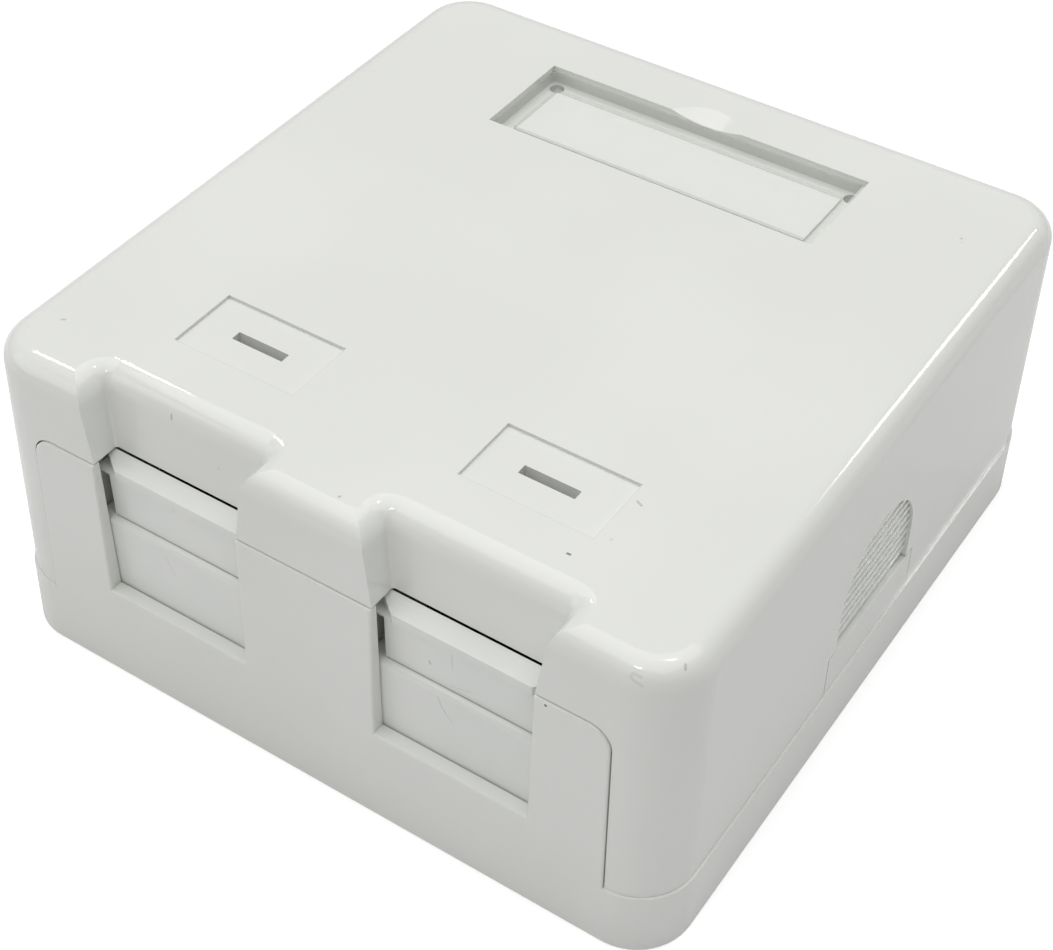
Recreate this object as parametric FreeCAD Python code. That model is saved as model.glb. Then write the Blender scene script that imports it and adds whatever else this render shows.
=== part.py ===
import FreeCAD, Part
import math
import os

# Surface-mounted data outlet with two ports, in millimetres.
# The bottom lies on z = 0, the ports face -Y, and the origin is the centre of the bottom face.
# Depths into the box are counted from the foot of the front face, in +Y.

Vector = FreeCAD.Vector

# Housing: overall size and the draft of its moulded walls
box_width = 65.0
box_depth = 67.2
box_height = 30.2
side_draft_deg = 1.1
front_draft_deg = 2.0
back_draft_deg = 1.2
corner_radius = 5.0
least_corner_radius = 1.25
top_edge_radius = 2.0

# Base: floor, rim, and the tongue that the cover slips over
floor_thickness = 2.0
rim_height = 6.2
rim_step = 0.2
cover_wall = 2.0
tongue_wall = 1.2
tongue_height = 2.4
fit_gap = 0.15

# Front panel of the base and the cut-out of the cover around it
panel_depth = 1.55
scoop_height = 6.9
cutout_margin = 5.2
cutout_draft_deg = 1.65
cutout_corner_radius = 2.0
seam_gap = 0.12

# Ports
port_width = 14.1
port_shift = 0.3
port_height = 13.7
port_edge_radius = 0.2

# Scoops: finger hollows in the cover above the ports
scoop_depth_low = 3.6
scoop_depth_top = 4.4
scoop_flare_share = 0.0754
scoop_wall = 1.6
scoop_inner_radius = 0.3
scoop_overcut = 0.6

# Shutter: lower panel, set-back pad and bevelled head
slide_gap = 0.1
shutter_thickness = 1.9
shutter_side_lap = 1.15
shutter_foot_lap = 0.4
shutter_top_gap = 0.25
shutter_step_drop = 6.3
shutter_well_floor = 0.7
shutter_step_radius = 0.5
pad_setback = 0.6
pad_inset = 0.12
head_height = 1.7
head_front_height = 0.9
head_inset = 0.93
head_proud = 0.15
head_shelf = 0.25
arm_thickness = 2.0

# Guide walls behind the front panel, and the spring beside each shutter
guide_wall = 1.0
guide_lip = 1.0
spring_offset_share = 0.53
spring_diameter_share = 0.74
spring_wire_share = 0.133
spring_turns = 5
spring_wire_sides = 6
spring_pad_margin = 0.1
peg_share = 0.57
peg_height = 2.4
arm_peg_height = 1.4

# Jack frame: the plate that the two jacks snap into
jack_depth = 8.0
frame_thickness = 1.8
frame_margin = 2.0
ceiling_gap = 0.2
jack_gap = 0.1

# Jack: front housing
jack_width = 14.5
jack_height = 15.6
jack_top_gap = 1.7
jack_length = 16.0
plug_width = 11.9
plug_height = 6.8
plug_floor_rise = 4.05
plug_cavity_length = 14.0
latch_notch_width = 6.2
latch_notch_height = 1.5
latch_slot_width = 3.4
latch_slot_height = 0.8
hook_width = 8.0
hook_height = 0.8
hook_length = 2.0
snap_arm_width = 6.0
snap_arm_thickness = 0.7
snap_arm_length = 9.0
snap_barb_height = 1.0
snap_barb_length = 1.8

# Jack: contact carrier and its eight spring contacts
contact_count = 8
contact_pitch = 1.02
contact_width = 0.45
contact_thickness = 0.3
contact_slot_gap = 0.05
contact_front = 4.2
contact_reach = 7.0
contact_rise = 2.3
contact_row_step = 2.0
carrier_front = 3.0
carrier_height = 2.8
carrier_margin = 0.8
carrier_top_gap = 0.15
groove_depth = 0.6
groove_lead = 0.9

# Jack: circuit board, wire block, wire blades and wire cap
board_thickness = 1.2
board_length = 17.0
board_width = 15.2
board_gap = 0.3
block_height = 9.2
block_length = 11.4
blade_count = 4
blade_pitch = 2.6
blade_width = 2.0
blade_thickness = 0.4
blade_height = 8.2
blade_slot_width = 0.35
blade_slot_depth = 4.0
blade_offset = 5.2
blade_pocket_gap = 0.1
wire_slot_width = 0.9
wire_slot_depth = 5.2
wire_channel_width = 5.2
wire_channel_floor = 1.5
cap_thickness = 1.8
cap_skirt = 0.9
cap_skirt_height = 3.2
cap_rib_height = 2.2
cap_gap = 0.1
cap_edge_radius = 0.6

# Label pocket on the cover, its card and its clear window
label_width = 32.0
label_depth = 10.6
label_setback = 13.0
label_pocket_depth = 1.6
label_pocket_floor = 1.4
window_gap = 0.12
window_seat_gap = 0.05
window_thickness = 1.25
window_frame_x = 1.35
window_frame_y = 1.6
window_chamfer = 0.24
window_recess = 0.55
card_thickness = 0.25
card_gap = 0.1
window_peg_diameter = 1.1
window_peg_inset = 1.0
window_peg_length = 0.9
notch_chord = 7.2
notch_depth = 0.5
notch_reach = 2.1

# Icon recesses with their slots
icon_width = 11.6
icon_depth = 6.6
icon_centre_depth = 13.5
icon_recess = 0.3
icon_slot_length = 4.9
icon_slot_width = 0.95

# Side cable entries: tongue of the base, and arched knock-out of the cover
entry_width = 15.2
entry_height = 10.45
arch_width = 12.7
arch_spring_height = 13.9
arch_recess = 0.4
arch_web = 0.7
arch_rib_pitch = 1.0
arch_rib_width = 0.5
arch_rib_height = 0.14

# Wall fixing and cable entry in the floor
screw_hole_diameter = 4.2
screw_spacing = 38.0
screw_setback = 18.2
screw_boss_diameter = 9.0
screw_boss_height = 1.0
floor_entry_width = 16.0
floor_entry_length = 10.0
floor_entry_setback = 15.2
floor_entry_radius = 2.0
tie_anchor_width = 7.0
tie_anchor_thickness = 3.0
tie_anchor_height = 4.0
tie_slot_width = 4.2
tie_slot_height = 1.8
tie_anchor_offset = 17.0
tie_anchor_setback = 8.2

# Modelling: how far a cut runs past a face, how far a wall runs into what carries it,
# the rise of an upright edge as a share of its length, and the match of two heights
overcut = 1.0
wall_root = 0.5
upright_share = 0.8
height_match = 1e-4

# Places worked out from the sizes above
front_foot = -box_depth / 2
back_foot = box_depth / 2
apron_height = box_height - scoop_height
cutout_width = box_width - 2 * cutout_margin
port_spacing = cutout_width / 2 - 2 * port_shift
scoop_flare = scoop_flare_share * (port_spacing - port_width)
port_sill = apron_height - port_height
port_centres = {"left": -port_spacing / 2, "right": port_spacing / 2}
tongue_inset = rim_step + cover_wall + fit_gap
inner_inset = tongue_inset + tongue_wall
panel_back = front_foot + panel_depth
ceiling = box_height - cover_wall
shutter_front = panel_back + slide_gap
shutter_back = shutter_front + shutter_thickness
shutter_half_width = port_width / 2 + shutter_side_lap
shutter_top = apron_height - shutter_top_gap
shutter_foot = port_sill - shutter_foot_lap
shutter_travel = shutter_foot - slide_gap - shutter_well_floor
shutter_step_height = apron_height - shutter_step_drop
guide_inner = shutter_half_width + fit_gap
guide_outer = guide_inner + guide_wall
guide_top = apron_height - 2 * shutter_top_gap
spring_room = port_spacing / 2 - guide_outer
spring_diameter = spring_diameter_share * spring_room
spring_wire = spring_wire_share * spring_diameter
peg_diameter = peg_share * spring_diameter
spring_centre_u = guide_outer + spring_offset_share * spring_room
spring_pad_half = spring_diameter / 2 + spring_pad_margin
spring_centre_y = panel_back + spring_pad_half + fit_gap
head_base = shutter_top - head_height
arm_bottom = head_base - arm_thickness
frame_front = front_foot + jack_depth
frame_back = frame_front + frame_thickness
jack_top = ceiling - jack_top_gap
jack_base_height = jack_top - jack_height
plug_floor_height = jack_base_height + plug_floor_rise
jack_back = frame_front + jack_length
plug_ceiling = plug_floor_height + plug_height
carrier_top = plug_floor_height - carrier_top_gap
carrier_bottom = carrier_top - carrier_height
carrier_half_width = contact_count * contact_pitch / 2 + carrier_margin - contact_pitch / 2
board_front = jack_back + board_gap
board_back = board_front + board_length
board_top = jack_base_height + board_thickness
block_back = board_back
block_front = block_back - block_length
block_top = board_top + block_height
label_floor = box_height - label_pocket_depth
label_centre_y = back_foot - label_setback
arch_radius = arch_width / 2


def box(x0, x1, y0, y1, z0, z1):
    return Part.makeBox(x1 - x0, y1 - y0, z1 - z0, Vector(x0, y0, z0))


def cylinder(x, y, z0, z1, diameter):
    return Part.makeCylinder(diameter / 2, z1 - z0, Vector(x, y, z0))


def frustum(z0, low, z1, high):
    """Solid between two level rectangles, each given as (x0, x1, y0, y1)."""
    wedge = Part.makeWedge(low[0], z0, -low[3], -high[3], high[0],
                           low[1], z1, -low[2], -high[2], high[1])
    wedge.rotate(Vector(0, 0, 0), Vector(1, 0, 0), 90)
    return wedge


def outline(z, inset=0.0):
    """Drafted outline of the housing at height z, moved inwards by inset."""
    half = box_width / 2 - z * math.tan(math.radians(side_draft_deg)) - inset
    front = front_foot + z * math.tan(math.radians(front_draft_deg)) + inset
    back = back_foot - z * math.tan(math.radians(back_draft_deg)) - inset
    return (-half, half, front, back)


def steep_edges(shape, keep=lambda x, y: True):
    """Edges that rise more than they run, picked by the place of their middle."""
    found = []
    for edge in shape.Edges:
        ends = [v.Point for v in edge.Vertexes]
        if len(ends) != 2 or abs(ends[0].z - ends[1].z) < upright_share * edge.Length:
            continue
        middle = (ends[0] + ends[1]) / 2
        if keep(middle.x, middle.y):
            found.append(edge)
    return found


def level_edges(shape, z):
    """Edges that lie wholly at height z."""
    found = []
    for edge in shape.Edges:
        heights = [edge.valueAt(p).z for p in (edge.FirstParameter,
                   (edge.FirstParameter + edge.LastParameter) / 2, edge.LastParameter)]
        if max(abs(h - z) for h in heights) < height_match:
            found.append(edge)
    return found


def housing_block(z0, z1, inset):
    """Drafted block of the housing with rounded upright corners."""
    block = frustum(z0, outline(z0, inset), z1, outline(z1, inset))
    radius = max(corner_radius - inset, least_corner_radius)
    return block.makeFillet(radius, steep_edges(block))


def prism_xz(points, y0, y1):
    """Closed profile in the XZ plane, drawn out from y0 to y1."""
    wire = Part.makePolygon([Vector(x, y0, z) for x, z in points + points[:1]])
    return Part.Face(wire).extrude(Vector(0, y1 - y0, 0))


def prism_yz(points, x0, x1):
    """Closed profile in the YZ plane, drawn out from x0 to x1."""
    wire = Part.makePolygon([Vector(x0, y, z) for y, z in points + points[:1]])
    return Part.Face(wire).extrude(Vector(x1 - x0, 0, 0))


def cutout_profile(gap, back):
    """Front opening of the cover, or the panel inside it, from the floor to the apron."""
    slope = math.tan(math.radians(cutout_draft_deg))
    low = cutout_width / 2 + rim_height * slope - gap
    high = low - apron_height * slope
    top = apron_height - gap
    plate = prism_xz([(-low, 0), (low, 0), (high, top), (-high, top)],
                     front_foot - cover_wall, back)
    radius = cutout_corner_radius - gap
    upper = [e for e in level_edges(plate, top)
             if abs(e.Vertexes[0].X - e.Vertexes[1].X) < height_match]
    return plate.makeFillet(radius, upper)


def scoop_block(centre, z0, z1, wall):
    """Flared finger hollow over one port, or the wall around it."""
    def section(z):
        share = (z - apron_height) / (box_height - apron_height)
        half = port_width / 2 + scoop_flare * share + wall
        depth = scoop_depth_low + (scoop_depth_top - scoop_depth_low) * share + wall
        return (centre - half, centre + half, front_foot - cover_wall, front_foot + depth)
    return frustum(z0, section(z0), z1, section(z1))


def arch_plate(x0, x1):
    """Arched outline of a side knock-out, drawn out along X."""
    post = box(x0, x1, -arch_radius, arch_radius, entry_height, arch_spring_height)
    crown = Part.makeCylinder(arch_radius, x1 - x0, Vector(x0, 0, arch_spring_height),
                              Vector(1, 0, 0))
    crown = crown.common(box(x0, x1, -arch_radius, arch_radius,
                             entry_height, arch_spring_height + arch_radius))
    return post.fuse(crown).removeSplitter()


def make_cover():
    """Cover: drafted shell with two scoops, label pocket, icon recesses and side knock-outs."""
    skin = housing_block(rim_height, box_height, rim_step)
    for centre in port_centres.values():
        skin = skin.cut(scoop_block(centre, apron_height - scoop_overcut,
                                    box_height + cover_wall, 0.0))
    reach = (port_spacing + port_width) / 2 + scoop_flare
    scoop_middle = front_foot + scoop_depth_low
    corners = steep_edges(skin, lambda x, y: abs(x) < reach
                          and scoop_middle < y < front_foot + scoop_depth_top)
    skin = skin.makeFillet(scoop_inner_radius, corners)
    skin = skin.makeFillet(top_edge_radius, level_edges(skin, box_height))

    hollow = housing_block(0.0, ceiling, rim_step + cover_wall)
    for centre in port_centres.values():
        hollow = hollow.cut(scoop_block(centre, apron_height, box_height, scoop_wall))
    hollow = hollow.cut(box(-label_width / 2 - cover_wall, label_width / 2 + cover_wall,
                            label_centre_y - label_depth / 2 - cover_wall,
                            label_centre_y + label_depth / 2 + cover_wall,
                            label_floor - label_pocket_floor, box_height))
    cover = skin.cut(hollow)
    wall_back = outline(apron_height, rim_step + cover_wall)[2]
    cover = cover.cut(cutout_profile(0.0, wall_back + fit_gap))

    for sign in (-1, 1):
        wall_x = outline(arch_spring_height, rim_step)[1]
        outer = sorted((sign * (wall_x - arch_recess), sign * (wall_x + cover_wall)))
        inner = sorted((sign * (wall_x - arch_recess - arch_web),
                        sign * (wall_x - cover_wall - overcut)))
        recess = arch_plate(*outer)
        cover = cover.cut(recess).cut(arch_plate(*inner))
        rib_x = sorted((sign * (wall_x - arch_recess - arch_web / 2),
                        sign * (wall_x - arch_recess + arch_rib_height)))
        count = int((arch_spring_height + arch_radius - entry_height) / arch_rib_pitch)
        ribs = [box(rib_x[0], rib_x[1], -arch_radius, arch_radius, z - arch_rib_width / 2,
                    z + arch_rib_width / 2)
                for z in (entry_height + arch_rib_pitch * (i + 1) for i in range(count))]
        field = arch_plate(*rib_x)
        for rib in ribs:
            cover = cover.fuse(rib.common(field))
        side = sorted((sign * (wall_x - cover_wall - overcut), sign * (wall_x + cover_wall)))
        cover = cover.cut(box(side[0], side[1], -entry_width / 2, entry_width / 2,
                              0, entry_height))

    for centre in port_centres.values():
        y = front_foot + icon_centre_depth
        cover = cover.cut(box(centre - icon_width / 2, centre + icon_width / 2,
                              y - icon_depth / 2, y + icon_depth / 2,
                              box_height - icon_recess, box_height + overcut))
        cover = cover.cut(box(centre - icon_slot_length / 2, centre + icon_slot_length / 2,
                              y - icon_slot_width / 2, y + icon_slot_width / 2,
                              ceiling - overcut, box_height))

    cover = cover.cut(box(-label_width / 2, label_width / 2,
                          label_centre_y - label_depth / 2, label_centre_y + label_depth / 2,
                          label_floor, box_height + overcut))
    for x, y in window_pegs():
        cover = cover.cut(cylinder(x, y, label_floor - label_pocket_floor - overcut,
                                   label_floor + overcut,
                                   window_peg_diameter + 2 * window_gap))
    return cover.cut(notch_dish())


def notch_dish():
    """Shallow hollow behind the label window: a leaning cylinder that ends at the reach."""
    lean = math.atan2(notch_depth, notch_reach)
    sink = notch_depth * math.cos(lean)
    radius = ((notch_chord / 2) ** 2 + sink ** 2) / (2 * sink)
    edge = label_centre_y + label_depth / 2
    along = Vector(0, math.cos(lean), math.sin(lean))
    middle = Vector(0, edge, box_height - notch_depth + radius / math.cos(lean))
    dish = Part.makeCylinder(radius, 2 * notch_chord, middle - along * notch_chord, along)
    return dish.common(box(-notch_chord, notch_chord, edge - window_gap,
                           edge + notch_reach + overcut, label_floor, box_height + overcut))


def window_pegs():
    """Places of the four corner pegs of the label window."""
    x = label_width / 2 - window_peg_inset
    y = label_depth / 2 - window_peg_inset
    return [(i * x, label_centre_y + j * y) for i in (-1, 1) for j in (-1, 1)]


def make_label_window():
    """Clear window: a shallow tray upside down over the card, with four corner pegs."""
    half_x = label_width / 2 - window_gap
    half_y = label_depth / 2 - window_gap
    low = label_floor + window_seat_gap
    high = low + window_thickness
    tray = box(-half_x, half_x, label_centre_y - half_y, label_centre_y + half_y, low, high)
    tray = tray.makeChamfer(window_chamfer, level_edges(tray, high))
    tray = tray.cut(box(-half_x + window_frame_x, half_x - window_frame_x,
                        label_centre_y - half_y + window_frame_y,
                        label_centre_y + half_y - window_frame_y,
                        low, low + window_recess))
    for x, y in window_pegs():
        tray = tray.fuse(cylinder(x, y, low - window_peg_length, low + window_recess,
                                  window_peg_diameter))
    return tray.removeSplitter()


def make_label_card():
    """Blank paper card that lies on the pocket floor inside the window's recess."""
    half_x = label_width / 2 - window_gap - window_frame_x - card_gap
    half_y = label_depth / 2 - window_gap - window_frame_y - card_gap
    return box(-half_x, half_x, label_centre_y - half_y, label_centre_y + half_y,
               label_floor, label_floor + card_thickness)


def make_base():
    """Base: floor, rim, tongue, front panel with its ports, guides, jack frame and entries."""
    base = housing_block(0.0, rim_height, 0.0)
    tongue_top = rim_height + tongue_height
    tongue = housing_block(floor_thickness, tongue_top, tongue_inset)
    base = base.fuse(tongue)
    base = base.cut(housing_block(floor_thickness, tongue_top + overcut, inner_inset))
    panel_half = cutout_width / 2 - fit_gap
    base = base.cut(box(-panel_half, panel_half, panel_back, front_foot + inner_inset + overcut,
                        floor_thickness, tongue_top + overcut))

    base = base.fuse(front_panel())
    for sign in (-1, 1):
        wall = housing_block(0.0, box_height, rim_step)
        wall = wall.cut(housing_block(0.0, box_height, rim_step + cover_wall))
        half = entry_width / 2 - seam_gap
        side = sorted((sign * box_width / 2, 0))
        wall = wall.common(box(side[0], side[1], -half, half,
                               rim_height - wall_root, entry_height - seam_gap))
        link = box(*sorted((sign * (outline(rim_height)[1] - cover_wall),
                            sign * (outline(rim_height)[1] - inner_inset))),
                   -half, half, rim_height - wall_root, entry_height - seam_gap)
        base = base.fuse(wall).fuse(link)

    for centre in port_centres.values():
        for guide in make_guides():
            guide.translate(Vector(centre, 0, 0))
            base = base.fuse(guide)
        well = box(centre - guide_inner, centre + guide_inner, panel_back,
                   shutter_back + slide_gap,
                   shutter_well_floor, floor_thickness + overcut)
        base = base.cut(well)
        base = base.fuse(cylinder(centre + spring_centre_u, spring_centre_y,
                                  floor_thickness - wall_root, floor_thickness + peg_height,
                                  peg_diameter))
    base = base.fuse(make_jack_frame())

    screw_y = back_foot - screw_setback
    for x in (-screw_spacing / 2, screw_spacing / 2):
        base = base.fuse(cylinder(x, screw_y, 0, floor_thickness + screw_boss_height,
                                  screw_boss_diameter))
        base = base.cut(cylinder(x, screw_y, -overcut,
                                 floor_thickness + screw_boss_height + overcut,
                                 screw_hole_diameter))
    entry_y = back_foot - floor_entry_setback
    entry = box(-floor_entry_width / 2, floor_entry_width / 2, entry_y - floor_entry_length / 2,
                entry_y + floor_entry_length / 2, -overcut, floor_thickness + overcut)
    entry = entry.makeFillet(floor_entry_radius, steep_edges(entry))
    base = base.cut(entry)
    for x in (-tie_anchor_offset, tie_anchor_offset):
        y = back_foot - tie_anchor_setback
        anchor = box(x - tie_anchor_width / 2, x + tie_anchor_width / 2,
                     y - tie_anchor_thickness / 2, y + tie_anchor_thickness / 2,
                     floor_thickness, floor_thickness + tie_anchor_height)
        base = base.fuse(anchor)
        base = base.cut(box(x - tie_slot_width / 2, x + tie_slot_width / 2,
                            y - tie_anchor_thickness, y + tie_anchor_thickness,
                            floor_thickness, floor_thickness + tie_slot_height))
    return base.removeSplitter()


def front_panel():
    """Front panel of the base with its two port openings, rounded along the front edges."""
    panel = cutout_profile(seam_gap, panel_back).common(housing_block(0.0, box_height, 0.0))
    for centre in port_centres.values():
        panel = panel.cut(box(centre - port_width / 2, centre + port_width / 2,
                              front_foot - overcut, panel_back + overcut, port_sill, box_height))
    edges = []
    for edge in panel.Edges:
        ends = [edge.valueAt(p) for p in (edge.FirstParameter, edge.LastParameter)]
        if (max(p.z for p in ends) > height_match
                and all(abs(p.y - outline(p.z)[2]) < height_match for p in ends)):
            edges.append(edge)
    return panel.makeFillet(port_edge_radius, edges)


def make_guides():
    """Cheek walls and lips that hold one shutter, in the frame of its port."""
    guides = []
    lip_front = shutter_back + slide_gap
    for sign in (-1, 1):
        cheek = box(*sorted((sign * guide_inner, sign * guide_outer)),
                    panel_back - wall_root, frame_front + wall_root,
                    floor_thickness - wall_root, guide_top)
        if sign > 0:
            cheek = cheek.cut(box(guide_inner - overcut, guide_outer + overcut,
                                  panel_back - overcut, lip_front,
                                  arm_bottom - shutter_travel - slide_gap, guide_top + overcut))
        lip = box(*sorted((sign * (guide_inner - guide_lip), sign * guide_inner)),
                  lip_front, lip_front + guide_wall, floor_thickness - wall_root,
                  shutter_step_height)
        guides.append(cheek.fuse(lip))
    return guides


def make_jack_frame():
    """Upright plate with a window for each jack."""
    half = port_spacing / 2 + jack_width / 2 + jack_gap + frame_margin
    plate = box(-half, half, frame_front, frame_back, floor_thickness - wall_root,
                ceiling - ceiling_gap)
    for centre in port_centres.values():
        plate = plate.cut(box(centre - jack_width / 2 - jack_gap,
                              centre + jack_width / 2 + jack_gap,
                              frame_front - overcut, frame_back + overcut,
                              jack_base_height, jack_top + jack_gap))
    return plate


def make_shutter():
    """Sliding dust shutter in the frame of its port: foot panel, pad, head and spring arm."""
    foot = box(-shutter_half_width, shutter_half_width, shutter_front, shutter_back,
               shutter_foot, shutter_step_height)
    front_top = [e for e in level_edges(foot, shutter_step_height)
                 if abs(e.Vertexes[0].Y - shutter_front) < height_match
                 and abs(e.Vertexes[1].Y - shutter_front) < height_match]
    foot = foot.makeFillet(shutter_step_radius, front_top)
    pad_front = shutter_front + pad_setback
    pad_half = port_width / 2 - pad_inset
    pad = box(-pad_half, pad_half, pad_front, shutter_back, shutter_foot, head_base)
    head_front = pad_front - head_proud
    narrow = port_width / 2 - head_inset
    wide = shutter_half_width
    head = frustum(0, (-narrow, narrow, -head_base - head_front_height, -head_base),
                   shutter_back - head_front, (-wide, wide, -shutter_top, -head_base))
    head.rotate(Vector(0, 0, 0), Vector(1, 0, 0), -90)
    head.translate(Vector(0, head_front, 0))
    shelf = box(-wide, wide, pad_front, shutter_back, head_base, head_base + head_shelf)
    arm = box(pad_half - wall_root, spring_centre_u, pad_front, shutter_back,
              arm_bottom, head_base)
    pad_end = box(spring_centre_u - spring_pad_half, spring_centre_u + spring_pad_half,
                  spring_centre_y - spring_pad_half, spring_centre_y + spring_pad_half,
                  arm_bottom, head_base)
    peg = cylinder(spring_centre_u, spring_centre_y, arm_bottom - arm_peg_height,
                   arm_bottom + wall_root, peg_diameter)
    shutter = foot
    for piece in (pad, head, shelf, arm, pad_end, peg):
        shutter = shutter.fuse(piece)
    return shutter.removeSplitter()


def make_spring():
    """Return spring that stands on the floor peg and lifts the shutter's arm."""
    low = floor_thickness + spring_wire / 2
    high = arm_bottom - spring_wire / 2
    mean_radius = (spring_diameter - spring_wire) / 2
    helix = Part.makeHelix((high - low) / spring_turns, high - low, mean_radius)
    corners = []
    for i in range(spring_wire_sides + 1):
        angle = 2 * math.pi * i / spring_wire_sides
        corners.append(Vector(mean_radius + spring_wire / 2 * math.cos(angle), 0,
                              spring_wire / 2 * math.sin(angle)))
    section = Part.makePolygon(corners)
    coil = Part.Wire(helix.Edges).makePipeShell([section], True, True)
    coil.translate(Vector(spring_centre_u, spring_centre_y, low))
    return coil


def make_jack_housing():
    """Front housing of a jack: plug cavity, latch notches, bottom hook and top snap arm."""
    half = jack_width / 2
    body = box(-half, half, frame_front, jack_back, jack_base_height, jack_top)
    cavity_back = frame_front + plug_cavity_length
    cuts = [
        box(-plug_width / 2, plug_width / 2, frame_front - overcut, cavity_back,
            plug_floor_height, plug_ceiling),
        box(-latch_notch_width / 2, latch_notch_width / 2, frame_front - overcut, cavity_back,
            plug_floor_height, plug_ceiling + latch_notch_height),
        box(-latch_slot_width / 2, latch_slot_width / 2, frame_front - overcut,
            frame_front + plug_cavity_length / 2,
            plug_floor_height, plug_ceiling + latch_notch_height + latch_slot_height),
        box(-carrier_half_width - jack_gap, carrier_half_width + jack_gap,
            frame_front + carrier_front - jack_gap, jack_back + overcut,
            carrier_bottom, plug_floor_height),
    ]
    for cut in cuts:
        body = body.cut(cut)
    hook = box(-hook_width / 2, hook_width / 2, frame_back + jack_gap,
               frame_back + jack_gap + hook_length,
               jack_base_height - hook_height, jack_base_height + wall_root)
    arm_back = frame_back + jack_gap + snap_arm_length
    arm = prism_yz([(frame_back + jack_gap, jack_top),
                    (frame_back + jack_gap, jack_top + snap_barb_height),
                    (frame_back + jack_gap + snap_barb_length, jack_top + snap_arm_thickness),
                    (arm_back, jack_top + snap_arm_thickness),
                    (arm_back, jack_top)],
                   -snap_arm_width / 2, snap_arm_width / 2)
    return body.fuse(hook).fuse(arm).removeSplitter()


def ribbon(points, thickness, x0, x1):
    """Flat strip along a route of (y, z) points, given on its middle line."""
    left, right = [], []
    for i, (y, z) in enumerate(points):
        before = points[max(i - 1, 0)]
        after = points[min(i + 1, len(points) - 1)]
        first = math.atan2(z - before[1], y - before[0]) if i > 0 else None
        last = math.atan2(after[1] - z, after[0] - y) if i < len(points) - 1 else None
        first = last if first is None else first
        last = first if last is None else last
        turn = (last - first + math.pi) % (2 * math.pi) - math.pi
        angle = first + turn / 2 + math.pi / 2
        reach = thickness / 2 / math.cos(turn / 2)
        left.append((y + reach * math.cos(angle), z + reach * math.sin(angle)))
        right.append((y - reach * math.cos(angle), z - reach * math.sin(angle)))
    return prism_yz(left + right[::-1], x0, x1)


def make_contacts():
    """Eight gold-plated spring contacts of one jack."""
    leg = carrier_top - groove_depth + contact_thickness / 2
    front = frame_front + contact_front
    solids = []
    for i in range(contact_count):
        x = (i - (contact_count - 1) / 2) * contact_pitch
        tail_y = board_front + (1 + i % 2) * contact_row_step
        route = [(front + contact_reach, leg + contact_rise), (front, leg + contact_thickness)]
        rise = ribbon(route, contact_thickness, x - contact_width / 2, x + contact_width / 2)
        route = [(front - contact_thickness, leg), (tail_y, leg), (tail_y, board_top)]
        run = ribbon(route, contact_thickness, x - contact_width / 2, x + contact_width / 2)
        elbow = Part.makeCylinder(contact_thickness, contact_width,
                                  Vector(x - contact_width / 2, front, leg + contact_thickness / 2),
                                  Vector(1, 0, 0))
        solids.append(rise.fuse(run).fuse(elbow).removeSplitter())
    return Part.makeCompound(solids)


def make_contact_carrier():
    """Insert that carries the contacts in eight grooves on its top."""
    front = frame_front + carrier_front
    body = box(-carrier_half_width, carrier_half_width, front, jack_back,
               carrier_bottom, carrier_top)
    half = contact_width / 2 + contact_slot_gap
    for i in range(contact_count):
        x = (i - (contact_count - 1) / 2) * contact_pitch
        body = body.cut(box(x - half, x + half,
                            frame_front + contact_front - groove_lead, jack_back + overcut,
                            carrier_top - groove_depth, carrier_top + overcut))
    return body


def make_circuit_board():
    """Small board that joins the contacts to the wire blades."""
    return box(-board_width / 2, board_width / 2, board_front, board_back,
               jack_base_height, board_top)


def blade_places():
    """Places of the wire blades of one jack, two rows of four."""
    first = (block_front + block_back) / 2 - (blade_count - 1) * blade_pitch / 2
    return [(side * blade_offset, first + i * blade_pitch)
            for side in (-1, 1) for i in range(blade_count)]


def make_wire_block():
    """Block with a slot for each wire and a channel for the cable down its middle."""
    body = box(-board_width / 2, board_width / 2, block_front, block_back, board_top, block_top)
    body = body.cut(box(-wire_channel_width / 2, wire_channel_width / 2, block_front - overcut,
                        block_back + overcut, board_top + wire_channel_floor,
                        block_top + overcut))
    for x, y in blade_places():
        pocket_x = blade_thickness / 2 + blade_pocket_gap
        pocket_y = blade_width / 2 + blade_pocket_gap
        body = body.cut(box(x - pocket_x, x + pocket_x, y - pocket_y, y + pocket_y,
                            board_top, block_top + overcut))
        outer = math.copysign(board_width / 2 + overcut, x)
        body = body.cut(box(*sorted((0, outer)), y - wire_slot_width / 2, y + wire_slot_width / 2,
                            block_top - wire_slot_depth, block_top + overcut))
    return body


def make_wire_blades():
    """Eight forked blades that cut through the wires' insulation."""
    solids = []
    for x, y in blade_places():
        blade = box(x - blade_thickness / 2, x + blade_thickness / 2,
                    y - blade_width / 2, y + blade_width / 2,
                    board_top, board_top + blade_height)
        blade = blade.cut(box(x - blade_thickness, x + blade_thickness,
                              y - blade_slot_width / 2, y + blade_slot_width / 2,
                              board_top + blade_height - blade_slot_depth,
                              board_top + blade_height + overcut))
        solids.append(blade)
    return Part.makeCompound(solids)


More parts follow.
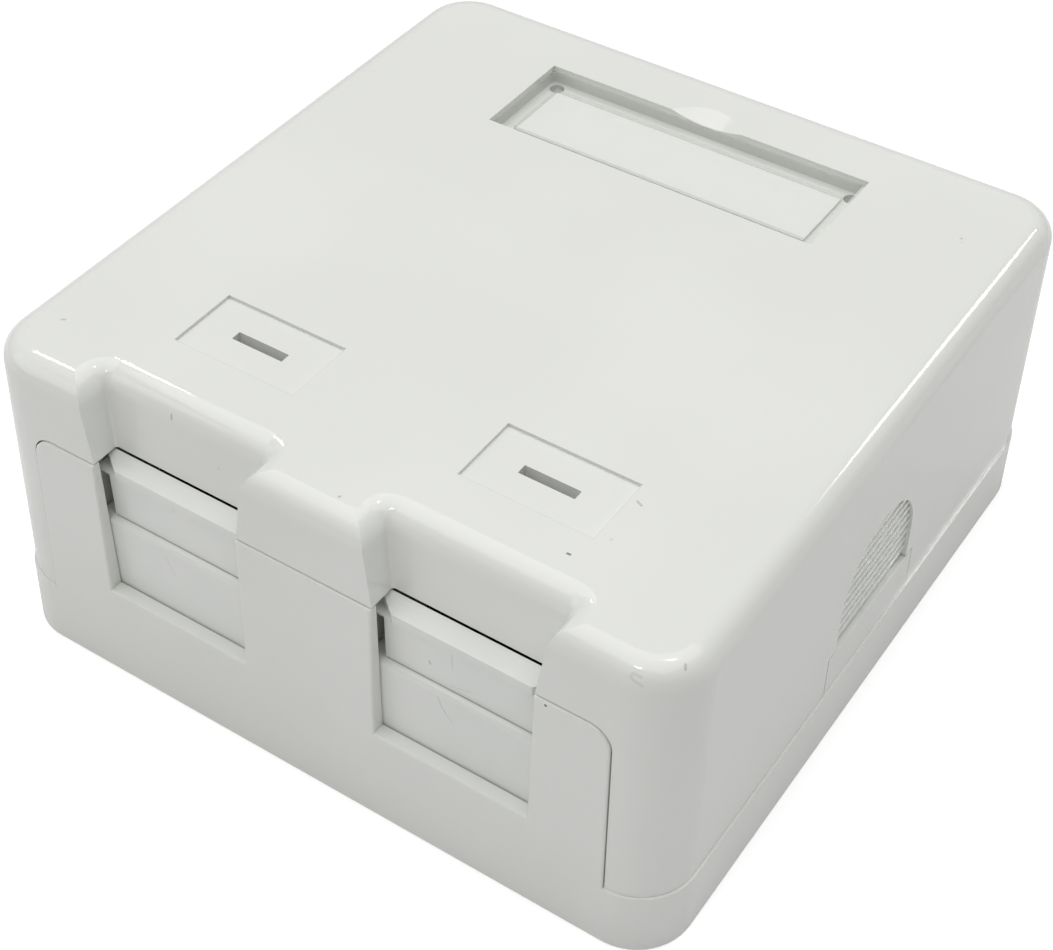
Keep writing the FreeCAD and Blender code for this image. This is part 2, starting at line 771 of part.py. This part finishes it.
def make_wire_cap():
    """Cap that holds the wires down, with side skirts and a rib for each wire slot."""
    half = board_width / 2 + cap_gap + cap_skirt
    top = block_top + cap_thickness
    cap = box(-half, half, block_front - cap_gap, block_back, block_top, top)
    cap = cap.makeFillet(cap_edge_radius, level_edges(cap, top))
    for sign in (-1, 1):
        skirt = box(*sorted((sign * (half - cap_skirt), sign * half)),
                    block_front - cap_gap, block_back, block_top - cap_skirt_height,
                    block_top + wall_root)
        cap = cap.fuse(skirt)
    rib_half = wire_slot_width / 2 - cap_gap
    for x, y in blade_places():
        inner = abs(x) + blade_thickness + cap_gap
        cap = cap.fuse(box(*sorted((math.copysign(inner, x),
                                    math.copysign(board_width / 2 - cap_gap, x))),
                           y - rib_half, y + rib_half, block_top - cap_rib_height, block_top))
    return cap.removeSplitter()


def placed(shape, centre):
    """Copy of a port's piece moved to its port."""
    copy = shape.copy()
    copy.translate(Vector(centre, 0, 0))
    return copy


def main():
    os.makedirs("parts", exist_ok=True)
    parts = {
        "base": make_base(),
        "cover": make_cover(),
        "label_window": make_label_window(),
        "label_card": make_label_card(),
    }
    port_pieces = {
        "shutter": make_shutter(),
        "shutter_spring": make_spring(),
        "jack_housing": make_jack_housing(),
        "contact_carrier": make_contact_carrier(),
        "jack_contacts": make_contacts(),
        "circuit_board": make_circuit_board(),
        "wire_block": make_wire_block(),
        "wire_blades": make_wire_blades(),
        "wire_cap": make_wire_cap(),
    }
    for side, centre in port_centres.items():
        for name, shape in port_pieces.items():
            parts[side + "_" + name] = placed(shape, centre)
    for name, shape in parts.items():
        solids = len(shape.Solids)
        print(name, "solids", solids, "valid", shape.isValid(), "volume", round(shape.Volume, 2))
        shape.exportStep("parts/" + name + ".step")


main()
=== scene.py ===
import math

import bpy
from mathutils import Matrix, Vector


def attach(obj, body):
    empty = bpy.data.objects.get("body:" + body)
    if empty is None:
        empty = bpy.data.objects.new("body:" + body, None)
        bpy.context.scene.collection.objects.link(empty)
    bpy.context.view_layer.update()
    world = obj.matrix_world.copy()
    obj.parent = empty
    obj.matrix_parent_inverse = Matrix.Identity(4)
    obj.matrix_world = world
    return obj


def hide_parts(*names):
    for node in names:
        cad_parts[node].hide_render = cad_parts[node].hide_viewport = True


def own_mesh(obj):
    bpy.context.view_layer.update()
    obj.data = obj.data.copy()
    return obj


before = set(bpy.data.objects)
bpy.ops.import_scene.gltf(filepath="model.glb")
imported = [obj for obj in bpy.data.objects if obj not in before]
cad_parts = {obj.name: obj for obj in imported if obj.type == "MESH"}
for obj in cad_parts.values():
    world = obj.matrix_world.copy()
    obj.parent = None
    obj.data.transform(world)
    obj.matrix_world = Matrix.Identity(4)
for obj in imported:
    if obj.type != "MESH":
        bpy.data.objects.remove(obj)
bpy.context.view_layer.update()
bpy.ops.object.select_all(action="DESELECT")

# Cover. A drafted shell moulded in warm-white ABS, glossy outside, that slips over the base.
# It carries the finger scoops, the icon recesses, the label pocket and the side knock-outs.


class Field:
    """A shader value that adds its own Math nodes when it is used in a sum."""

    def __init__(self, paint, socket):
        self.paint = paint
        self.socket = socket

    def __add__(self, other):
        return self.paint.math("ADD", self, other)

    __radd__ = __add__

    def __sub__(self, other):
        return self.paint.math("SUBTRACT", self, other)

    def __rsub__(self, other):
        return self.paint.math("SUBTRACT", other, self)

    def __mul__(self, other):
        return self.paint.math("MULTIPLY", self, other)

    __rmul__ = __mul__

    def __abs__(self):
        return self.paint.math("ABSOLUTE", self)


class Paint:
    """The nodes of a material or of the world, added one by one."""

    def __init__(self, owner):
        self.owner = owner
        owner.use_nodes = True
        self.tree = owner.node_tree
        self.tree.nodes.clear()
        self.place = self.node("ShaderNodeTexCoord", out="Object")

    def node(self, kind, settings=None, inputs=None, out=0):
        """Adds one node: its settings first, then its inputs, and gives back one of its outputs."""
        made = self.tree.nodes.new(kind)
        for name, value in (settings or {}).items():
            setattr(made, name, value)
        for name, value in (inputs or {}).items():
            if isinstance(value, Field):
                self.tree.links.new(value.socket, made.inputs[name])
            else:
                made.inputs[name].default_value = value
        return Field(self, made.outputs[out]) if made.outputs else made

    def math(self, operation, first, second=0.0, clamp=False):
        return self.node("ShaderNodeMath", {"operation": operation, "use_clamp": clamp},
                         {0: first, 1: second})

    def larger(self, first, second):
        return self.math("MAXIMUM", first, second)

    def ramp(self, value, low, high, start=0.0, end=1.0):
        """Value carried smoothly from the range low..high to start..end."""
        return self.node("ShaderNodeMapRange", {"interpolation_type": "SMOOTHSTEP"},
                         {"Value": value, "From Min": low, "From Max": high,
                          "To Min": start, "To Max": end})

    def noise(self, scale, detail=2.0, stretch=(1.0, 1.0, 1.0)):
        place = self.node("ShaderNodeMapping", None, {"Vector": self.place, "Scale": stretch})
        return self.node("ShaderNodeTexNoise", None,
                         {"Vector": place, "Scale": scale, "Detail": detail})

    def mix(self, share, first, second):
        """Colour between two colours."""
        return self.node("ShaderNodeMix", {"data_type": "RGBA"}, {0: share, 6: first, 7: second},
                         out=2)

    def bump(self, height, strength, distance):
        return self.node("ShaderNodeBump", None,
                         {"Height": height, "Strength": strength, "Distance": distance})

    def strokes(self, marks):
        """Mask of specks and short scratches: (start, end, radius, strength), in millimetres."""
        metre = 0.001
        solid_share = 0.3
        mask = None
        for start, end, radius, strength in marks:
            start, end = Vector(start) * metre, Vector(end) * metre
            away = self.node("ShaderNodeVectorMath", {"operation": "SUBTRACT"},
                             {0: self.place, 1: start})
            if (end - start).length > 0:
                along = (end - start) / (end - start).length_squared
                share = self.node("ShaderNodeVectorMath", {"operation": "DOT_PRODUCT"},
                                  {0: away, 1: along}, out="Value")
                share = self.math("ADD", share, 0.0, clamp=True)
                nearest = self.node("ShaderNodeVectorMath", {"operation": "SCALE"},
                                    {0: end - start, "Scale": share})
                away = self.node("ShaderNodeVectorMath", {"operation": "SUBTRACT"},
                                 {0: away, 1: nearest})
            length = self.node("ShaderNodeVectorMath", {"operation": "LENGTH"}, {0: away},
                               out="Value")
            radius = radius * metre
            mark = self.ramp(length, radius * solid_share, radius, strength, 0.0)
            mask = mark if mask is None else self.larger(mask, mark)
        return mask

    def surface(self, **inputs):
        """Principled surface; underscores in the names stand for blanks."""
        named = {name.replace("_", " "): value for name, value in inputs.items()}
        shader = self.node("ShaderNodeBsdfPrincipled", None, named)
        self.node("ShaderNodeOutputMaterial", None, {"Surface": shader})
        return self.owner


def wear(node, material):
    """Puts a material on a node of the frame."""
    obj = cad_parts[node]
    for slot in obj.material_slots:
        slot.material = material
    return obj


plastic_ior = 1.5


def moulded_white(name, marks):
    """Glossy warm-white ABS, faintly wavy, with dark marks: specks and scratches, and on the cover
    painted shade lines and a painted reflection.
    """
    dark_ivory, light_ivory = (0.790, 0.800, 0.765, 1), (0.812, 0.822, 0.790, 1)
    dirt_and_shade_colour = (0.05, 0.048, 0.042, 1)
    polished, handled = 0.05, 0.10
    mark_roughness = 0.3
    paint = Paint(bpy.data.materials.new(name))
    cloud = paint.ramp(paint.noise(38.0), 0.35, 0.65)
    smear = paint.noise(120.0, 4.0)
    wave = paint.noise(70.0, 1.0)
    # Dark marks: specks and scratches, and in the cover's list also painted shade lines on the icon
    # recess edges and a painted reflection on the front-right corner.
    grime_and_painted_shade = paint.strokes(marks)
    return paint.surface(
        Base_Color=paint.mix(grime_and_painted_shade, paint.mix(cloud, dark_ivory, light_ivory), dirt_and_shade_colour),
        Roughness=paint.ramp(smear, 0.3, 0.75, polished, handled) + grime_and_painted_shade * mark_roughness,
        Normal=paint.bump(wave, 0.05, 0.0004),
        IOR=plastic_ior)


port_centres = {"left": -13.35, "right": 13.35}
cover_top = 30.2
cover_specks_shade_and_reflection = [
    ((-27.95, -26.56, cover_top), (-27.76, -26.42, cover_top), 0.17, 0.28),
    ((-14.62, -29.28, 29.0), (-14.55, -29.33, 28.66), 0.13, 0.38),
    ((-10.04, -29.67, 26.19), (-10.04, -29.67, 26.19), 0.13, 0.25),
    ((1.94, -30.08, cover_top), (1.94, -30.08, cover_top), 0.17, 0.38),
    ((18.42, -25.66, cover_top), (18.62, -25.65, cover_top), 0.15, 0.75),
    ((20.23, -22.78, cover_top), (20.23, -22.78, cover_top), 0.22, 0.12),
    ((19.77, -18.51, cover_top), (20.22, -18.7, cover_top), 0.14, 0.32),
    ((25.85, 23.11, cover_top), (25.85, 23.11, cover_top), 0.22, 0.22),
    ((26.08, 22.61, cover_top), (26.08, 22.61, cover_top), 0.16, 0.10),
    ((30.21, -29.61, 29.92), (30.36, -29.84, 29.74), 0.14, 0.32),
    ((32.08, 11.81, 11.41), (32.08, 11.81, 11.41), 0.22, 0.10),
    # Painted reflection: a dark hook-shaped reflection on the front-right corner round, drawn as
    # three strokes.
    ((27.49, -32.06, 29.28), (27.6, -31.89, 29.49), 0.16, 0.12),
    ((27.6, -31.89, 29.49), (28.19, -31.82, 29.41), 0.16, 0.12),
    ((27.6, -32.1, 29.18), (28.44, -32.05, 28.88), 0.16, 0.12),
]
icon_half_width, icon_front, icon_corner = 5.8, -23.4, -16.8
# Painted shade: faint dark lines along the front and right edges of each shallow icon recess, where
# the recess edge falls in shade.
for centre in port_centres.values():
    near = (centre - icon_half_width, icon_front, cover_top)
    corner = (centre + icon_half_width, icon_front, cover_top)
    far = (centre + icon_half_width, icon_corner, cover_top)
    cover_specks_shade_and_reflection += [(near, corner, 0.10, 0.10), (corner, far, 0.10, 0.10)]
wear("cover", moulded_white("abs_cover", cover_specks_shade_and_reflection))

# Base. The same warm-white ABS as the cover: rim, front panel with the port openings,
# and inside it the guides, the jack frame and the screw bosses, all one moulding.

base_marks = [
    ((21.44, -32.8, 22.9), (21.44, -32.8, 22.9), 0.17, 0.95),
    ((11.1, -32.43, 9.8), (11.37, -32.94, 9.8), 0.10, 0.20),
    ((-15.64, -32.37, 9.8), (-15.28, -32.91, 9.8), 0.10, 0.12),
]
wear("base", moulded_white("abs_base", base_marks))

# Shutters. Two small white slides moulded with a bevelled head. Plugs have left a few faint
# scratches on them, and painted shade darkens the crease where the set-back pad meets the foot.

pad_face, foot_face = -31.35, -31.95
scratches_and_crease_shade = [
    ((10.46, pad_face, 19.07), (10.54, pad_face, 18.79), 0.12, 0.35),
    ((12.45, pad_face, 20.97), (12.52, pad_face, 19.58), 0.14, 0.10),
    ((12.31, pad_face, 17.48), (14.1, pad_face, 17.94), 0.10, 0.12),
    ((11.55, foot_face, 16.36), (11.89, foot_face, 15.44), 0.09, 0.20),
    ((11.89, foot_face, 15.44), (12.33, foot_face, 14.81), 0.09, 0.22),
    ((12.33, foot_face, 14.81), (12.87, foot_face, 14.25), 0.09, 0.16),
    ((-13.77, pad_face, 20.91), (-13.77, pad_face, 20.91), 0.25, 0.08),
    ((-14.81, foot_face, 15.8), (-14.02, foot_face, 14.08), 0.12, 0.08),
]
pad_half_width, pad_foot = 6.75, 17.0
# Painted shade: a dark line along the crease where the set-back pad meets the foot, standing in for
# the shade in that corner.
for centre in port_centres.values():
    scratches_and_crease_shade.append(((centre - pad_half_width, pad_face, pad_foot),
                          (centre + pad_half_width, pad_face, pad_foot), 0.13, 0.42))
paint = Paint(bpy.data.materials.new("shutter_white"))
cloud = paint.ramp(paint.noise(90.0), 0.35, 0.65)
rubbed = paint.noise(260.0, 2.0)
white = paint.mix(cloud, (0.80, 0.815, 0.785, 1), (0.83, 0.842, 0.81, 1))
shutter_white = paint.surface(
    # The dark colour paints the scratches and the painted crease shade.
    Base_Color=paint.mix(paint.strokes(scratches_and_crease_shade), white, (0.08, 0.075, 0.065, 1)),
    Roughness=paint.ramp(rubbed, 0.3, 0.7, 0.20, 0.25),
    IOR=plastic_ior)
for side in port_centres:
    wear(side + "_shutter", shutter_white)

# Label window and card. The window is clear styrene whose pegs are frosted below the floor
# of the pocket; it lies over a plain paper card. Its bevelled faces carry painted highlight
# lines and its upright faces carry darker painted shade bands, both as a denser film.

pocket_floor, frost_end = 0.02856, 0.02859
clear_alpha, upright_shade_alpha, bevel_highlight_alpha = 0.12, 0.28, 0.60
bevel_normal = 0.707
paint = Paint(bpy.data.materials.new("clear_window"))
height = paint.node("ShaderNodeSeparateXYZ", None, {"Vector": paint.place}, out="Z")
facing = paint.node("ShaderNodeNewGeometry", out="Normal")
level = abs(paint.node("ShaderNodeSeparateXYZ", None, {"Vector": facing}, out="Z"))
frosted = paint.ramp(height, pocket_floor, frost_end, 1.0, clear_alpha)
# Painted shade: upright faces get a darker, more opaque film, seen as grey bands. Painted
# highlight: bevelled faces get a near-white, more opaque film, seen as bright lines.
upright_shade_mask = paint.ramp(level, 0.2, 0.4, 1.0, 0.0)
bevel_highlight_mask = paint.ramp(abs(level - bevel_normal), 0.1, 0.2, 1.0, 0.0)
painted_edge_light = paint.larger(upright_shade_mask * upright_shade_alpha, bevel_highlight_mask * bevel_highlight_alpha)
# A small dark opaque dot at the left rear corner of the window.
corner_dot = paint.strokes([((-15.92, 23.32, 29.85), (-15.85, 23.38, 29.85), 0.34, 0.6)])
smear = paint.noise(160.0, 3.0)
# Near-white film colour, darker on upright faces as painted shade.
film_and_upright_shade = paint.mix(upright_shade_mask, (0.90, 0.91, 0.88, 1), (0.60, 0.61, 0.58, 1))
window_clear = paint.surface(
    Base_Color=paint.mix(corner_dot, film_and_upright_shade, (0.03, 0.03, 0.028, 1)),
    Roughness=paint.ramp(smear, 0.35, 0.7, 0.03, 0.09),
    Alpha=paint.larger(paint.larger(frosted, painted_edge_light), corner_dot),
    IOR=plastic_ior)
wear("label_window", window_clear)

paint = Paint(bpy.data.materials.new("plain_card"))
fibre = paint.noise(2600.0, 5.0, (1.0, 1.6, 1.0))
card_paper = paint.surface(
    Base_Color=paint.mix(fibre, (0.785, 0.800, 0.775, 1), (0.840, 0.850, 0.830, 1)),
    Roughness=0.8,
    Normal=paint.bump(fibre, 0.2, 0.00003))
wear("label_card", card_paper)

# Return springs. Drawn spring-steel wire beside each shutter. Each coil is a copy of its
# node's mesh, merged, smooth-shaded and attached to the base in place of the node.

paint = Paint(bpy.data.materials.new("spring_wire"))
drawn = paint.noise(900.0, 3.0, (1.0, 1.0, 4.0))
spring_steel = paint.surface(
    Base_Color=paint.mix(drawn, (0.50, 0.49, 0.48, 1), (0.62, 0.61, 0.60, 1)),
    Metallic=1.0,
    Roughness=paint.ramp(drawn, 0.3, 0.7, 0.28, 0.4))
weld_distance = 0.000001
smooth_angle = 0.7
for side in port_centres:
    node = side + "_shutter_spring"
    coil = bpy.data.objects.new(side + "_return_coil", wear(node, spring_steel).data.copy())
    coil.data.materials.clear()
    coil.data.materials.append(spring_steel)
    bpy.context.scene.collection.objects.link(coil)
    bpy.context.view_layer.objects.active = coil
    bpy.ops.object.mode_set(mode="EDIT")
    bpy.ops.mesh.select_all(action="SELECT")
    bpy.ops.mesh.remove_doubles(threshold=weld_distance)
    bpy.ops.object.mode_set(mode="OBJECT")
    coil.select_set(True)
    bpy.ops.object.shade_smooth_by_angle(angle=smooth_angle)
    coil.select_set(False)
    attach(coil, "base")
    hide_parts(node)
    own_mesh(coil)

# Jacks. Black moulded housings that snap into the jack frame, each with a black carrier
# that holds eight gold-plated spring contacts.


def dull_plastic(name, dark, light, roughness):
    """Moulded plastic with a fine grain."""
    roughness_spread = 0.05
    paint = Paint(bpy.data.materials.new(name))
    grain = paint.noise(1500.0, 4.0)
    return paint.surface(
        Base_Color=paint.mix(grain, dark, light),
        Roughness=paint.ramp(grain, 0.3, 0.7, roughness - roughness_spread,
                             roughness + roughness_spread),
        Normal=paint.bump(grain, 0.15, 0.00004),
        IOR=plastic_ior)


jack_black = dull_plastic(
    "jack_black", (0.020, 0.020, 0.021, 1), (0.034, 0.033, 0.033, 1), 0.42)
carrier_black = dull_plastic(
    "carrier_black", (0.028, 0.028, 0.030, 1), (0.042, 0.041, 0.042, 1), 0.5)
paint = Paint(bpy.data.materials.new("gold_plate"))
rubbed = paint.noise(1400.0, 3.0, (1.0, 3.0, 1.0))
gold_plate = paint.surface(
    Base_Color=paint.mix(rubbed, (0.80, 0.58, 0.24, 1), (0.90, 0.70, 0.34, 1)),
    Metallic=1.0,
    Roughness=paint.ramp(rubbed, 0.3, 0.7, 0.2, 0.32))
for side in port_centres:
    wear(side + "_jack_housing", jack_black)
    wear(side + "_contact_carrier", carrier_black)
    wear(side + "_jack_contacts", gold_plate)

# Wire blocks. Circuit boards with green solder mask, natural blocks with tinned blades,
# and dark caps that press the wires down.

block_natural = dull_plastic(
    "block_natural", (0.66, 0.65, 0.60, 1), (0.72, 0.71, 0.66, 1), 0.45)
cap_dark = dull_plastic(
    "cap_dark", (0.070, 0.070, 0.074, 1), (0.095, 0.094, 0.098, 1), 0.45)
paint = Paint(bpy.data.materials.new("board_green"))
track = paint.ramp(paint.noise(700.0, 2.0, (1.0, 0.35, 1.0)), 0.47, 0.53)
board_green = paint.surface(
    Base_Color=paint.mix(track, (0.010, 0.085, 0.035, 1), (0.020, 0.150, 0.060, 1)),
    Roughness=0.35,
    Normal=paint.bump(track, 0.3, 0.00003))
paint = Paint(bpy.data.materials.new("tinned_blade"))
tin = paint.noise(1100.0, 3.0)
tinned_blade = paint.surface(
    Base_Color=paint.mix(tin, (0.62, 0.62, 0.60, 1), (0.74, 0.74, 0.72, 1)),
    Metallic=1.0,
    Roughness=paint.ramp(tin, 0.3, 0.7, 0.3, 0.42))
for side in port_centres:
    wear(side + "_circuit_board", board_green)
    wear(side + "_wire_block", block_natural)
    wear(side + "_wire_blades", tinned_blade)
    wear(side + "_wire_cap", cap_dark)

# Studio. A pale floor that glows only to the camera and keeps the box's soft shadow, a white
# surround, one wide lamp overhead, small lamps for the highlights on the rounded edges, and
# the camera of the photograph.

floor_size, floor_drop = 6.0, 0.00005
near_glow, far_glow = 0.40, 1.0
near_reach, far_reach = 0.15, 0.70
bpy.ops.mesh.primitive_plane_add(size=floor_size, location=(0, 0, -floor_drop))
floor = bpy.context.object
floor.name = "floor"
paint = Paint(bpy.data.materials.new("pale_floor"))
seen = paint.node("ShaderNodeLightPath", out="Is Camera Ray")
reach = paint.node("ShaderNodeVectorMath", {"operation": "LENGTH"}, {0: paint.place}, out="Value")
glow_strength = seen * paint.ramp(reach, near_reach, far_reach, near_glow, far_glow)
shade = paint.node("ShaderNodeBsdfDiffuse", None, {"Color": (0.86, 0.86, 0.86, 1)})
glow = paint.node("ShaderNodeEmission", None, {"Color": (1, 1, 1, 1), "Strength": glow_strength})
both = paint.node("ShaderNodeAddShader", None, {0: shade, 1: glow})
paint.node("ShaderNodeOutputMaterial", None, {"Surface": both})
floor.data.materials.append(paint.owner)

surround_light = 0.215
paint = Paint(bpy.data.worlds.new("studio"))
seen = paint.larger(paint.node("ShaderNodeLightPath", out="Is Camera Ray"),
                    paint.node("ShaderNodeLightPath", out="Is Transmission Ray"))
strength = paint.node("ShaderNodeMapRange", None,
                      {"Value": seen, "To Min": surround_light, "To Max": 1.0})
surround = paint.node("ShaderNodeBackground", None,
                      {"Color": (1, 1, 1, 1), "Strength": strength})
paint.node("ShaderNodeOutputWorld", None, {"Surface": surround})
bpy.context.scene.world = paint.owner


def lamp(name, azimuth, elevation, width, height, power):
    """Soft lamp that looks at the object from a compass direction, seen from above."""
    distance = 0.8
    a, e = math.radians(azimuth), math.radians(elevation)
    way = Vector((math.sin(a) * math.cos(e), -math.cos(a) * math.cos(e), math.sin(e)))
    light = bpy.data.lights.new(name, "AREA")
    light.shape = "RECTANGLE"
    light.size = width
    light.size_y = height
    light.energy = power
    made = bpy.data.objects.new(name, light)
    turn = way.to_track_quat("Z", "Y").to_matrix().to_4x4()
    made.matrix_world = Matrix.Translation(way * distance) @ turn
    bpy.context.scene.collection.objects.link(made)


lamp("overhead", 0, 88, 1.1, 1.1, 5.4)
lamp("left_fill", -55, 28, 0.5, 0.4, 0.60)
lamp("left_window", -117, 49, 0.07, 0.07, 0.36)
lamp("edge_window", 162, 40.5, 0.10, 0.15, 0.50)
lamp("corner_front", -5, 57, 0.10, 0.06, 0.34)
lamp("corner_back", 166, 75, 0.10, 0.06, 0.34)

view_azimuth, view_elevation, view_roll = (math.radians(v) for v in (33.10, 44.63, 0.87))
camera_place = (0.06776, -0.10832, 0.13001)
back = Vector((math.sin(view_azimuth) * math.cos(view_elevation),
               -math.cos(view_azimuth) * math.cos(view_elevation), math.sin(view_elevation)))
right = Vector((math.cos(view_azimuth), math.sin(view_azimuth), 0))
up = back.cross(right)
side = right * math.cos(view_roll) + up * math.sin(view_roll)
up = up * math.cos(view_roll) - right * math.sin(view_roll)
lens = bpy.data.cameras.new("camera")
lens.lens = 68.21
lens.sensor_width = 36.0
lens.shift_x = 0.0124
lens.shift_y = 0.0265
lens.clip_start = 0.01
camera = bpy.data.objects.new("camera", lens)
turn = Matrix((side, up, back)).transposed().to_4x4()
camera.matrix_world = Matrix.Translation(camera_place) @ turn
bpy.context.scene.collection.objects.link(camera)
bpy.context.scene.camera = camera
bpy.context.scene.view_settings.view_transform = "Standard"
